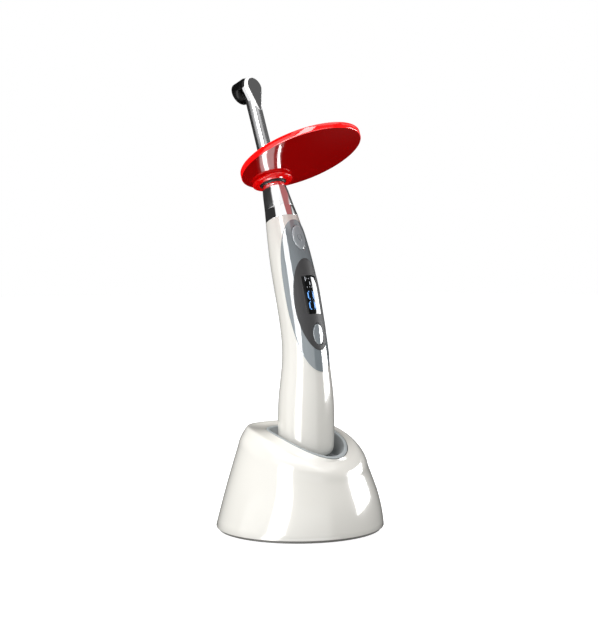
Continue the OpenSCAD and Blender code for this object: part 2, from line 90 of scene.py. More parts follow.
def circle(r, n, y=0.0):
    """n points on a circle round (0, y)."""
    return [[r * cosd(t), y + r * sind(t)] for t in turn(n)]


SHORTEST_SIDE = 1e-6
STRAIGHTEST_CORNER = 176
FILLET_REACH = 0.48
FILLET_PIECES = 5


def fillet(points, radius):
    """Rounds the corners of a closed flat outline. radius is one number, or one for each corner.

    A fillet takes at most a little under half of each side, and a nearly straight corner stays as it is."""
    n = len(points)
    out = []
    for i, p in enumerate(points):
        r = radius if isinstance(radius, (int, float)) else radius[i]
        a = Vector(points[i - 1]) - Vector(p)
        b = Vector(points[(i + 1) % n]) - Vector(p)
        if r <= 0 or a.length < SHORTEST_SIDE or b.length < SHORTEST_SIDE:
            out.append(list(p))
            continue
        half = a.angle(b, math.pi) / 2
        if half > math.radians(STRAIGHTEST_CORNER / 2):
            out.append(list(p))
            continue
        back = min(r / math.tan(half), FILLET_REACH * a.length, FILLET_REACH * b.length)
        start = Vector(p) + a.normalized() * back
        end = Vector(p) + b.normalized() * back
        for u in steps(FILLET_PIECES):
            q = (1 - u) ** 2 * start + 2 * u * (1 - u) * Vector(p) + u * u * end
            out.append(list(q))
    return out


# ---------------------------------------------------------------- the part's own curves
# Handle: height, x, lean in degrees, radius
STATIONS = [
    [39.5, 4.6, 0, 13.55],
    [41.5, 4.6, 0, 13.95],
    [58, 4.6, 0, 14],
    [66, 4.6, 0, 13.65],
    [74, 4.55, 0.5, 12.8],
    [84, 4.2, 4.4, 11.75],
    [94, 3, 9.4, 11.15],
    [104, 0.9, 13.2, 10.95],
    [119, -3, 15.9, 10.9],
    [134, -7.65, 17.6, 10.4],
    [144, -10.85, 18.8, 9.6],
    [155, -14.55, 21, 8.35],
]
HANDLE_X = 4.6
HANDLE_WALL = 1.8
CAP_Z = 36.5
NECK = Vector((-14.3, 0, 154.3))
NECK_LEAN = 21
# Lamp head and shield: s is the distance from the neck along the barrel
HEAD_S = 74.8
HEAD_R = 6
HEAD_REACH = 7.8
HEAD_TURN = 6
TUBE_R = 3.75
SHIELD_S = 22.4
SHIELD_SIZE = [71.4, 53.8]
SHIELD_OFFSET = 24.3
SHIELD_T = 3.1
# Control panel: heights, and half widths in degrees round the handle
OVERLAY_Z = [78.6, 151.2]
OVERLAY_HALF = 73
BEZEL_Z = [87, 132.2]
BEZEL_HALF = 52
LENS_Z = [104.6, 123.2]
LENS_HALF = 23.4
CROWN_RISE = 0.7
POWER_Z = 142
POWER_SIZE = [7.5, 12.8]
MODE_Z = 95.3
MODE_SIZE = [6.1, 10.3]
SKIN_GAP = 0.06
OVERLAY_T = 0.25
BEZEL_T = 0.4
LENS_T = 0.41
MARK_LIFT = 0.005
MARK_T = 0.015
# Charging base
BASE_LEN = 83.2
BASE_WID = 86
WALL_TAPER = 0.0065
WALL_BELLY = 1.8
BASE_WALL = 2.2
FOOT_INSET = 1.8
FOOT_T = 1.2
SHELL_Z = 1.3
LIP_Z = 51.3
LIP_PEAK_X = -24
LIP_SAG = 0.0057
LIP_X = 1.8
LIP_HALF = [26.2, 25.4]
LIP_FULL = 2.5
SHOULDER_DROP = 9
WELL_X = 5
WELL_LEN = 43.6
WELL_WID = 35.6
WELL_FLOOR = 36.1
WELL_FOOT = [16.6, 16]
RIM_Z = 49.3
RIM_FALL_X = -10
RIM_SAG = 0.0085
BOSS = [21, 27.2]
JACK_FACE = -36.7
JACK_Z = 16.3
JACK_HOLE_R = 4.2

HERE = Matrix.Identity(4)
# Turns a frame so that its x runs along y, its y along z and its z along x
FACE_OUT = Matrix(((0, 0, 1, 0), (1, 0, 0, 0), (0, 1, 0, 0), (0, 0, 0, 1)))


def grade(i, c):
    """Slope of column c at station i."""
    lo, hi = max(0, i - 1), min(len(STATIONS) - 1, i + 1)
    return (STATIONS[hi][c] - STATIONS[lo][c]) / (STATIONS[hi][0] - STATIONS[lo][0])


def along(z, c):
    """Value of column c of the handle at height z."""
    i = len([s for s in STATIONS if s[0] <= z]) - 1
    i = min(len(STATIONS) - 2, max(0, i))
    h = STATIONS[i + 1][0] - STATIONS[i][0]
    t = (z - STATIONS[i][0]) / h
    return (
        (2 * t**3 - 3 * t**2 + 1) * STATIONS[i][c]
        + (t**3 - 2 * t**2 + t) * h * grade(i, c)
        + (-2 * t**3 + 3 * t**2) * STATIONS[i + 1][c]
        + (t**3 - t**2) * h * grade(i + 1, c)
    )


def skin(z, ang, out):
    """Point on the handle at axis height z and an angle from the front, "out" beyond the skin."""
    lean = along(z, 2)
    r = along(z, 3) + out
    reach = r * cosd(ang)
    return [along(z, 1) + reach * cosd(lean), r * sind(ang), z + reach * sind(lean)]


def panel_frame(z):
    """Local x across the panel, y up the handle, z outwards."""
    lean = Matrix.Rotation(-math.radians(along(z, 2)), 4, "Y")
    return Matrix.Translation((along(z, 1), 0, z)) @ lean @ FACE_OUT


def axis_frame(s=0.0, spin=0.0):
    """Frame on the light barrel's axis, s from the neck."""
    lean = Matrix.Rotation(-math.radians(NECK_LEAN), 4, "Y")
    spun = Matrix.Rotation(math.radians(spin), 4, "Z")
    return Matrix.Translation(NECK) @ lean @ Matrix.Translation((0, 0, s)) @ spun


def head_frame(s=HEAD_S):
    """Local z runs to the back of the lamp head, y along the barrel."""
    return axis_frame(s, HEAD_TURN) @ FACE_OUT


# ---------------------------------------------------------------- mesh helpers
SAME_POINT = 1e-7


def finish_mesh(name, verts, faces, place, body, nodes=(), sharp=40, closed=True):
    """Makes the object from points in millimetres and sets its smooth and sharp edges."""
    mesh = bpy.data.meshes.new(name)
    mesh.from_pydata([(place @ Vector(v)) * MM for v in verts], [], faces)
    bm = bmesh.new()
    bm.from_mesh(mesh)
    bmesh.ops.remove_doubles(bm, verts=bm.verts, dist=SAME_POINT)
    if closed:
        bmesh.ops.recalc_face_normals(bm, faces=bm.faces)
    for f in bm.faces:
        f.smooth = True
    for e in bm.edges:
        if len(e.link_faces) == 2:
            e.smooth = e.calc_face_angle(0) < math.radians(sharp)
    bm.to_mesh(mesh)
    bm.free()
    obj = bpy.data.objects.new(name, mesh)
    bpy.context.scene.collection.objects.link(obj)
    if body:
        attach(obj, body)
    if nodes:
        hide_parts(*nodes)
    return obj


def grid(rows, wrap=True, loop=False, caps=False):
    """Points and quads through rows of points. wrap closes each row, loop joins last to first."""
    n = len(rows[0])
    m = len(rows)
    verts = [p for row in rows for p in row]
    faces = []
    for i in range(m if loop else m - 1):
        k = (i + 1) % m
        for j in range(n if wrap else n - 1):
            h = (j + 1) % n
            faces.append((i * n + j, i * n + h, k * n + h, k * n + j))
    if caps:
        faces.append(tuple(range(n - 1, -1, -1)))
        faces.append(tuple((m - 1) * n + j for j in range(n)))
    return verts, faces


def turned(name, profile, place, body, nodes=(), *, n, rounding=0.1):
    """Solid of revolution from a closed outline of (radius, height) points."""
    outline = fillet(profile, rounding)
    outline = [[max(0.0, r), z] for r, z in outline]
    rows = [[[r * cosd(t), r * sind(t), z] for t in turn(n)] for r, z in outline]
    return finish_mesh(name, *grid(rows, loop=True), place, body, nodes)


def cut(obj, *cutters):
    """Takes the cutters out of obj for good."""
    for c in cutters:
        m = obj.modifiers.new("cut", "BOOLEAN")
        m.object = c
        m.operation = "DIFFERENCE"
        m.solver = "EXACT"
    bpy.context.view_layer.update()
    done = bpy.data.meshes.new_from_object(obj.evaluated_get(bpy.context.evaluated_depsgraph_get()))
    obj.modifiers.clear()
    obj.data = done
    for c in cutters:
        bpy.data.objects.remove(c)
    return obj


def prism(outline, z0, z1, place):
    """Loose straight-sided solid, used as a cutter."""
    rows = [[[x, y, z] for x, y in outline] for z in (z0, z1)]
    return finish_mesh("cutter", *grid(rows, caps=True), place, None)


# ---------------------------------------------------------------- charging base
def wall_scale(z):
    """Size of the wall's plan at height z, as a share of the foot's."""
    return 1 - WALL_TAPER * z


def plan(k, t, shrink=0.0):
    """Plan of the wall at angle t, scaled by k and drawn in by "shrink"."""
    return [(k * BASE_LEN / 2 - shrink) * cosd(t), (k * BASE_WID / 2 - shrink) * sind(t)]


def lip_plan(t):
    """The lip is the highest line of the shell, where the shoulder meets the land."""
    x, y = full_oval(LIP_HALF[0], LIP_HALF[1], LIP_FULL, t)
    return [x + LIP_X, y]


def lip_height(t):
    return LIP_Z - LIP_SAG * (lip_plan(t)[0] - LIP_PEAK_X) ** 2


def shoulder_z(t):
    return lip_height(t) - SHOULDER_DROP


def rim_plan(grow, t):
    """Edge of the well, made wider by "grow"."""
    return [WELL_X + (WELL_LEN / 2 + grow) * cosd(t), (WELL_WID / 2 + grow) * sind(t)]


def rim_height(x):
    return RIM_Z - RIM_SAG * max(0, x - RIM_FALL_X) ** 2


def wall_point(u, t, shrink=0.0):
    """u runs up the wall from 0 at the foot to 1 at the shoulder."""
    z = lerp(SHELL_Z, shoulder_z(t), u)
    belly = WALL_BELLY * 4 * u * (1 - u) * (1 + cosd(t)) / 2
    x, y = plan(wall_scale(z), t, shrink - belly)
    return [x, y, z]


def shoulder_point(u, t, shrink=0.0):
    """u runs over the shoulder from 0 at the wall to 1 at the lip."""
    roll = 1.35 + (1 + cosd(t)) / 2
    p = plan(wall_scale(shoulder_z(t)), t)
    q = mix(p, lip_plan(t), u**roll)
    z = lerp(shoulder_z(t), lip_height(t), u)
    return [q[0] - shrink * cosd(t), q[1] - shrink * sind(t), z - shrink * u]


def land_point(u, t, drop=0.0):
    """u runs over the land from 0 at the lip to 1 at the well."""
    p, q = lip_plan(t), rim_plan(0.9, t)
    dish = 0.5 * sind(180 * u) * (1 - cosd(t)) / 2
    x, y = mix(p, q, u)
    return [x, y, lerp(lip_height(t), rim_height(q[0]), u) - dish - drop]


WALL_SHARES = [0.015, 0.1, 0.2, 0.3, 0.4, 0.5, 0.6, 0.7, 0.8, 0.88, 0.94, 1]
SHOULDER_SHARES = [0.08, 0.16, 0.25, 0.35, 0.45, 0.55, 0.65, 0.74, 0.82, 0.89, 0.95, 1]
LAND_SHARES = [0.1, 0.2, 0.35, 0.5, 0.65, 0.8, 0.92, 1]


def shell_section(t):
    """Outside of the base shell at angle t, from the foot up to the edge of the well."""
    raw = [plan(wall_scale(SHELL_Z), t, 0.3) + [SHELL_Z]]
    raw += [wall_point(u, t) for u in WALL_SHARES]
    raw += [shoulder_point(u, t) for u in SHOULDER_SHARES]
    raw += [land_point(u, t) for u in LAND_SHARES]
    return raw


def smoothed(rows, first, last, passes):
    """Evens out the rows from first up to last, more at the front than at the back."""
    rows = [list(map(list, r)) for r in rows]
    for _ in range(passes):
        new = [list(r) for r in rows]
        for i in range(first, last):
            for j, b in enumerate(rows[i]):
                share = 0.15 + 0.7 * (1 + cosd(360 * j / len(rows[i]))) / 2
                new[i][j] = mix(b, mix(rows[i - 1][j], rows[i + 1][j], 0.5), share)
        rows = new
    return rows


def make_base_shell():
    n = 240
    outside = [list(r) for r in zip(*[shell_section(t) for t in turn(n)])]
    outside = smoothed(outside, first=8, last=len(outside) - 2, passes=3)
    inside = [[land_point(u, t, BASE_WALL) for t in turn(n)] for u in (1, 0.6, 0.3)]
    inside += [[shoulder_point(u, t, BASE_WALL) for t in turn(n)] for u in (0.7, 0.3)]
    inside += [[wall_point(u, t, BASE_WALL) for t in turn(n)] for u in (1, 0.66, 0.33, 0)]
    shell = finish_mesh("base_skin", *grid(outside + inside, loop=True),
                        HERE, "base", ["base_shell"], sharp=60)
    jack_place = Matrix.Translation((JACK_FACE, 0, JACK_Z)) @ Matrix.Rotation(math.radians(90), 4, "Y")
    cut(shell, prism(circle(JACK_HOLE_R, 48), -4, 4, jack_place))
    post = [[1.4, 3.6], [3.2, 3.6], [3.2, 12], [0, 12], [0, 10.4], [1.4, 10.4]]
    posts = [turned("screw_boss", post, Matrix.Translation((x * BOSS[0], y * BOSS[1], 0)), "base", n=32)
             for x in (-1, 1) for y in (-1, 1)]
    return [shell] + posts


def cup_ring(z, grow, u, n):
    """Ring of the cup's wall: u runs from 0 at the rim to 1 at the foot of the wall, at height z."""
    ring = []
    for t in turn(n):
        top = rim_plan(grow, t)
        low = [HANDLE_X + (WELL_FOOT[0] + grow) * cosd(t), (WELL_FOOT[1] + grow) * sind(t)]
        ring.append(mix(top, low, u) + [lerp(rim_height(top[0]) + 0.15, z, u)])
    return ring


def make_well_cup():
    n = 192
    under = WELL_FLOOR - 2
    hole_r = 11.2

    def level(r, z):
        return [[HANDLE_X + x, y, z] for x, y in circle(r, n)]

    outer = [cup_ring(under, 0.7, u, n) for u in (1, 0.8, 0.6, 0.4, 0.2, 0.06, 0.02)]
    lift = 0.02
    rim_rolls = [(0.6, 0.12), (0.45, 0), (0, 0), (-0.5, 0), (-0.78, 0.14)]
    rim = [[[x, y, z + lift - roll] for x, y, z in cup_ring(WELL_FLOOR, grow, 0, n)]
           for grow, roll in rim_rolls]
    inner = [cup_ring(WELL_FLOOR, -0.9, u, n) for u in (0.03, 0.1, 0.25, 0.4, 0.55, 0.7, 0.82, 0.9)]
    low_wall, foot = cup_ring(WELL_FLOOR, -0.9, 0.9, n), cup_ring(WELL_FLOOR, -0.9, 1, n)
    corner = [[mix(mix(p, q, u), mix(q, r, u), u) for p, q, r in zip(low_wall, foot, level(15, WELL_FLOOR))]
              for u in (0.25, 0.5, 0.75, 1)]
    floor = [level(13, WELL_FLOOR), level(hole_r, WELL_FLOOR)]
    rows = [level(hole_r, under)] + outer + rim + inner + corner + floor
    return finish_mesh("cup_skin", *grid(rows, loop=True), HERE, "base", ["well_cup"], sharp=55)


def make_foot():
    """Oval pad with its upper and lower edges rounded."""
    a, b, h = BASE_LEN / 2 - FOOT_INSET, BASE_WID / 2 - FOOT_INSET, FOOT_T
    edge = 0.25
    rows = []
    for inset, z in ((edge, 0), (edge * 0.3, edge * 0.3), (0, edge),
                     (0, h - edge), (edge * 0.3, h - edge * 0.3), (edge, h)):
        rows.append([[(a - inset) * cosd(t), (b - inset) * sind(t), z] for t in turn(144)])
    return finish_mesh("foot_skin", *grid(rows, caps=True), HERE, "base", ["foot_pad"])


# ---------------------------------------------------------------- handle
# Heights of the rows of points up the handle, close together at its lower edge
HANDLE_ROWS = [39.5, 39.8, 40.2, 40.8, 41.5] + [41.5 + 112.2 * u for u in steps(56)][1:] + [153.9]


def half_shell(name, start, nodes):
    """One half of the handle's skin, with a fine rounded edge along the split."""
    n = 72
    edge_drop = 0.05
    edge_share = 0.02

    def row(z, out):
        return [skin(z, start + 180 * j / n, out) for j in range(n + 1)]

    rows = []
    for z in HANDLE_ROWS:
        outer = row(z, 0)
        inner = row(z, -HANDLE_WALL)[::-1]
        outer[0] = mix(outer[0], outer[1], edge_share)
        outer[-1] = mix(outer[-1], outer[-2], edge_share)
        rows.append([skin(z, start, -edge_drop)] + outer + [skin(z, start + 180, -edge_drop)] + inner)
    verts, faces = grid(rows)
    m, k = len(rows), len(rows[0])
    for i in (0, m - 1):
        for j in range(k // 2 - 1):
            near, far = i * k + j, i * k + k - 1 - j
            faces.append((near, near + 1, far - 1, far))
    return finish_mesh(name, verts, faces, HERE, "handpiece", nodes, sharp=50)


def button_hole(z, size, grow, top, n):
    """Loose oval solid round a button at height z, wider by "grow", from inside the handle out to "top"."""
    a, b = (size[0] + grow) / 2, (size[1] + grow) / 2
    return prism([[a * cosd(t), b * sind(t)] for t in turn(n)], 4, top, panel_frame(z))


def make_handle():
    rear = half_shell("rear_skin", 90, ["rear_shell"])
    front = half_shell("front_skin", -90, ["front_shell"])
    half_x, half_y = 4.2, 9.3
    window = prism([[-half_x, -half_y], [half_x, -half_y], [half_x, half_y], [-half_x, half_y]], 4, 16,
                   panel_frame((LENS_Z[0] + LENS_Z[1]) / 2))
    cut(front,
        button_hole(POWER_Z, POWER_SIZE, 0.6, 14, 64),
        button_hole(MODE_Z, MODE_SIZE, 0.6, 16, 64),
        window)
    return rear, front


def make_end_cap():
    """Cap with a round lower edge, a hollow plug under it and a spigot above it."""
    edge = 5
    plug = [[0, 24.2], [8, 24.2], [8.5, 24.7], [8.5, CAP_Z]]
    arc = [[8.95 + edge * cosd(a), CAP_Z + edge + edge * sind(a)] for a in range(-90, -23, 3)]
    spigot = [[13.5, 39.45], [11.6, 39.45], [11.6, 42.4], [10.3, 42.4]]
    hollow = [[10.3, 39], [6.5, 38.5], [6.5, 27.2], [0, 27.2]]
    place = Matrix.Translation((HANDLE_X, 0, 0))
    outline = plug + arc + spigot + hollow
    cap = turned("cap_skin", outline, place, "handpiece", ["end_cap"], n=144, rounding=0.12)
    pad_r, pad_y = 1.8, 4
    return cut(cap, *[prism(circle(pad_r, 40, pad_y * side), 20, 24.7, place) for side in (-1, 1)])


# ---------------------------------------------------------------- control panel
def panel_patch(name, outline, thickness, nodes, rings, rounding=0.08):
    """Thin closed shell on the handle inside an outline of (height, angle) points, with a rolled edge."""
    n = len(outline)
    mid_z = sum(z for z, a in outline) / n
    mid_a = sum(a for z, a in outline) / n
    top = SKIN_GAP + thickness
    shares = [i / rings * 0.99 for i in range(1, rings)]

    def ring(share, out):
        return [skin(lerp(mid_z, z, share), lerp(mid_a, a, share), out) for z, a in outline]

    rows = [ring(s, SKIN_GAP) for s in shares]
    rows += [ring(1.0, SKIN_GAP), ring(1.0, top - rounding)]
    rows += [ring(0.9975, top - rounding * 0.3), ring(0.993, top)]
    rows += [ring(s, top) for s in shares[::-1]]
    verts, faces = grid(rows)
    last = len(rows) - 1
    verts += [skin(mid_z, mid_a, SKIN_GAP), skin(mid_z, mid_a, top)]
    low, high = len(verts) - 2, len(verts) - 1
    faces += [((j + 1) % n, j, low) for j in range(n)]
    faces += [(last * n + j, last * n + (j + 1) % n, high) for j in range(n)]
    return finish_mesh(name, verts, faces, HERE, "handpiece", nodes, sharp=50)


def overlay_outline():
    """Long oval that is a little fuller above its middle."""
    mid = (OVERLAY_Z[0] + OVERLAY_Z[1]) / 2
    reach = (OVERLAY_Z[1] - OVERLAY_Z[0]) / 2
    out = []
    for t in turn(200):
        u = sind(t)
        fullness = 2.4 if u > 0 else 2
        share = max(0.0, 1 - abs(u) ** fullness) ** (1 / fullness)
        out.append([mid + reach * u, math.copysign(OVERLAY_HALF * share, cosd(t))])
    return out


def to_skin(z0, x, y):
    """Height and angle of the point of the handle straight under (x, y) of the panel frame at z0."""
    to_panel = panel_frame(z0).inverted()
    z, ang = z0 + y, 0.0
    for _ in range(12):
        at = to_panel @ Vector(skin(z, ang, SKIN_GAP))
        z += (y - at.y) * 0.9
        ang += math.degrees((x - at.x) / along(z, 3)) * 0.8
    return [z, ang]


def bezel_outline():
    """Slightly squared oval, laid on the handle from its panel frame. The lean makes it a little longer."""
    mid = (BEZEL_Z[0] + BEZEL_Z[1]) / 2
    a = along(mid, 3) * sind(BEZEL_HALF)
    b = (BEZEL_Z[1] - BEZEL_Z[0]) / 2 * 1.035
    return [to_skin(mid, *full_oval(a, b, 2.15, t)) for t in turn(120)]


def window_outline(z0, z1, half):
    """Rounded rectangle in height and angle."""
    corner_z, corner_a = 0.5, 2.6
    mid, reach = (z0 + z1) / 2, (z1 - z0) / 2
    out = []
    for t in turn(160):
        c, s = cosd(t), sind(t)
        k = 1 / max(abs(c), abs(s))
        a, b = half * c * k, reach * s * k
        over_a, over_b = abs(a) - (half - corner_a), abs(b) - (reach - corner_z)
        if over_a > 0 and over_b > 0:
            d = math.hypot(over_a / corner_a, over_b / corner_z)
            if d > 1:
                a = math.copysign(half - corner_a + over_a / d, a)
                b = math.copysign(reach - corner_z + over_b / d, b)
        out.append([mid + b, a])
    return out


def skin_cutter(outline, low, high):
    """Loose solid that follows an outline on the handle, from "low" to "high" beyond the skin."""
    rows = [[skin(z, a, out) for z, a in outline] for out in (low, high)]
    return finish_mesh("cutter", *grid(rows, caps=True), HERE, None)


def surface_mark(name, shapes):
    """Thin marks on the display: shapes is a list of outlines of (height, angle) points."""
    out = SKIN_GAP + BEZEL_T + MARK_LIFT
    verts, faces = [], []
    for outline in shapes:
        n = len(outline)
        start = len(verts)
        verts += [skin(z, a, out) for z, a in outline]
        verts += [skin(z, a, out + MARK_T) for z, a in outline]
        faces.append(tuple(start + j for j in range(n - 1, -1, -1)))
        faces.append(tuple(start + n + j for j in range(n)))
        faces += [(start + j, start + (j + 1) % n, start + n + (j + 1) % n, start + n + j) for j in range(n)]
    return finish_mesh(name, verts, faces, HERE, "handpiece")


def segment_shapes(z0, a0, long_z, wide_a, digit):
    """Seven-bar figure that reads from the side: its height runs round the handle and its width up it.

    z0 and a0 are its lowest corner. long_z is its extent up the handle, wide_a its extent in degrees."""
    lit = {"6": "acdefg", "8": "abcdefg"}[digit]
    bar_z, bar_a = long_z * 0.17, wide_a * 0.1
    gap_z, gap_a = long_z * 0.04, wide_a * 0.025
    half_a = wide_a / 2

    def bar_round(a_lo, a_hi, z):
        """Bar that runs round the handle."""
        m = bar_a * 0.9
        return [[z, a_lo + gap_a], [z + bar_z / 2, a_lo + gap_a + m], [z + bar_z / 2, a_hi - gap_a - m],
                [z, a_hi - gap_a], [z - bar_z / 2, a_hi - gap_a - m], [z - bar_z / 2, a_lo + gap_a + m]]

    def bar_up(z_lo, z_hi, a):
        """Bar that runs up the handle."""
        m = bar_z * 0.6
        return [[z_lo + gap_z, a], [z_lo + gap_z + m, a - bar_a / 2], [z_hi - gap_z - m, a - bar_a / 2],
                [z_hi - gap_z, a], [z_hi - gap_z - m, a + bar_a / 2], [z_lo + gap_z + m, a + bar_a / 2]]

    z_lo, z_hi = z0 + bar_z / 2, z0 + long_z - bar_z / 2
    bars = {
        "a": bar_up(z_lo, z_hi, a0 + wide_a),
        "g": bar_up(z_lo, z_hi, a0 + half_a),
        "d": bar_up(z_lo, z_hi, a0),
        "f": bar_round(a0 + half_a, a0 + wide_a, z_lo),
        "b": bar_round(a0 + half_a, a0 + wide_a, z_hi),
        "e": bar_round(a0, a0 + half_a, z_lo),
        "c": bar_round(a0, a0 + half_a, z_hi),
    }
    return [bars[k] for k in lit]


def crown(z0, x):
    """Height of a button's crowned top at x of its panel frame."""
    r = along(z0, 3) + CROWN_RISE
    return math.sqrt(max(0.0, r * r - x * x))


def power_mark(name, a, b, width, high, angles, closed):
    """Raised oval line in the middle of the power button, drawn through the angles."""
    rows = []
    for off, up in ((-width / 2, 0), (-width / 4, high), (width / 4, high), (width / 2, 0)):
        line = [((a + off) * cosd(t), (b + off) * sind(t)) for t in angles]
        rows.append([[x, y, crown(POWER_Z, x) + up] for x, y in line])
    return finish_mesh(name, *grid(rows, wrap=closed), panel_frame(POWER_Z), "power_key", closed=False)


def button(name, z0, size, body, nodes):
    """Oval cap: straight sides, rolled edge and a crowned top that follows the handle."""
    r = along(z0, 3)
    a, b = size[0] / 2, size[1] / 2
    edge = 0.35
    angles = turn(96)

    def side(inset, z):
        return [[(a - inset) * cosd(t), (b - inset) * sind(t), z] for t in angles]

    def edge_ring(q):
        """Ring of the rolled edge, q degrees up from the side."""
        inset, z = edge * (1 - cosd(q)), r - edge + edge * sind(q)
        return [[x, y, crown(z0, x) + h - r] for x, y, h in side(inset, z)]

    rows = [side(0, r - 3.7), edge_ring(0)] + [edge_ring(q) for q in (20, 40, 60, 80, 90)]
    top = [((a - edge) * 0.9 * cosd(t), (b - edge) * 0.9 * sind(t)) for t in angles]
    for share in (0.8, 0.6, 0.4, 0.2, 0.05):
        inner = [(x * share / 0.9, y * share / 0.9) for x, y in top]
        rows.append([[x, y, crown(z0, x)] for x, y in inner])
    return finish_mesh(name, *grid(rows, caps=True), panel_frame(z0), body, nodes, sharp=45)


# Lowest corner (height, angle) and size of each small bar on the display
DISPLAY_BARS = [
    (117.2, -12, 0.5, 8), (117.2, 2, 0.5, 7), (118.4, -3, 1.6, 2), (119.2, 8, 0.5, 6),
    (120.4, -14, 2, 1.6), (121.2, -9, 0.5, 7), (120.2, 5, 0.5, 9), (121.6, 10, 0.5, 5),
]


def make_display():
    """Window with two lit figures and a few small bars."""
    lens = panel_patch("lens_pane", window_outline(*LENS_Z, LENS_HALF), LENS_T, ["display_lens"], rings=10,
                       rounding=0.06)
    figures = segment_shapes(106.6, -13, 4.2, 30, "6") + segment_shapes(111.4, -13, 4.2, 30, "8")
    digits = surface_mark("display_digits", figures)
    icons = surface_mark("display_icons", [[[z, a], [z + dz, a], [z + dz, a + da], [z, a + da]]
                                           for z, a, dz, da in DISPLAY_BARS])
    return lens, digits, icons


def make_panel():
    overlay = panel_patch("overlay_skin", overlay_outline(), OVERLAY_T, ["control_overlay"], rings=40)
    cut(overlay, button_hole(POWER_Z, POWER_SIZE, 0.5, 14, 96), button_hole(MODE_Z, MODE_SIZE, 0.55, 16, 96))
    bezel = panel_patch("bezel_skin", bezel_outline(), BEZEL_T, ["display_bezel"], rings=24)
    gap_z, gap_a = 0.08, 0.5
    window = window_outline(LENS_Z[0] - gap_z, LENS_Z[1] + gap_z, LENS_HALF + gap_a)
    cut(bezel, button_hole(MODE_Z, MODE_SIZE, 0.5, 16, 96), skin_cutter(window, 0.2, 2))
    return overlay, bezel


def make_buttons():
    power = button("power_cap", POWER_Z, POWER_SIZE, "power_key", ["power_button"])
    mode = button("mode_cap", MODE_Z, MODE_SIZE, "mode_key", ["mode_button"])
    gapped = [112 + 316 * u for u in steps(96)]
    symbol = power_mark("power_symbol_ring", 1.25, 1.65, 0.34, 0.03, gapped, closed=False)
    outline = power_mark("power_outline", 3.05, 5.55, 0.16, 0.02, turn(96), closed=True)
    return power, mode, symbol, outline


# ---------------------------------------------------------------- neck, barrel and lamp head
def teardrop(r, tip, tip_r, z):
    """Outline of the head's back plate: a circle of radius r joined to a small one at the tip."""
    pts = []
    for t in turn(96):
        c, s = cosd(t), sind(t)
        if r >= -s * tip + tip_r:
            pts.append([r * c, r * s, z])
        else:
            pts.append([tip_r * c, -tip + tip_r * s, z])
    return pts


def make_neck_ring():
    outline = [[5.05, -4.6], [6.2, -4.6], [6.2, -0.36], [8.43, -0.36],
               [8.45, -0.3], [7.61, 5.66], [7.58, 5.7], [5.05, 5.7]]
    return turned("neck_band", outline, axis_frame(), "handpiece", ["neck_ring"], n=160, rounding=0.03)


def make_barrel():
    """Hollow barrel. Each point of its outline is a radius, a height and a rounding."""
    spigot = [(2.9, -6.2), (5, -6.2), (5, -5.6), (4.4, -5.6), (4.4, -4.8), (5, -4.8),
              (5, 3), (4.3, 3), (4.3, 4.2), (5, 4.2), (5, 5.72)]
    dome_z, dome_h = 69.6, 4.2
    points = [(r, z, 0.1) for r, z in spigot]
    points += [(7.56, 5.72, 0.03), (7.59, 5.75, 0.03), (6.62, 14.4, 4), (6.04, 17.85, 0.1)]
    points += [(5.96, 17.93, 0.05), (5.96, 18.05, 0.05), (5.72, 19.2, 0.6), (5.3, 22, 4), (4.75, 26, 4)]
    points += [(4.3, 30, 4), (4, 35, 6), (3.85, 39, 6), (3.78, 44, 6), (TUBE_R, 50, 6), (TUBE_R, dome_z, 0.2)]
    points += [(TUBE_R * cosd(a), dome_z + dome_h * sind(a), 0.3) for a in range(10, 90, 8)]
    points += [(0, dome_z + dome_h, 0), (0, 70, 0), (2.2, 70, 0.1), (2.2, 18, 0.1), (2.9, 18, 0.1)]
    profile = fillet([[r, z] for r, z, rounding in points], [rounding for r, z, rounding in points])
    rows = [[[max(0, r) * cosd(t), max(0, r) * sind(t), z] for t in turn(192)] for r, z in profile]
    return finish_mesh("barrel_tube", *grid(rows, loop=True),
                       axis_frame(), "light_barrel", ["barrel"], sharp=50)


def make_head_plate():
    """Teardrop plate with a rounded bevel and a slightly domed top."""
    tip = 13.2
    levels = [(6.0, 1.6, 0.4), (6.0, 1.6, 2), (5.98, 1.58, 2.35), (5.88, 1.5, 2.7), (5.7, 1.36, 3),
              (5.35, 1.1, 3.35), (5.0, 0.82, 3.65), (4.86, 0.6, 3.75), (4.8, 0.52, 3.77)]
    rows = [teardrop(r, tip, tip_r, z) for r, tip_r, z in levels]
    r, tip_r, z = levels[-1]
    rows += [teardrop(r * k, tip * k, tip_r * k, z + 0.04 * (1 - k)) for k in (0.8, 0.5, 0.2, 0.02)]
    return finish_mesh("head_plate", *grid(rows, caps=True),
                       head_frame(HEAD_S - 0.8), "light_barrel", sharp=28)


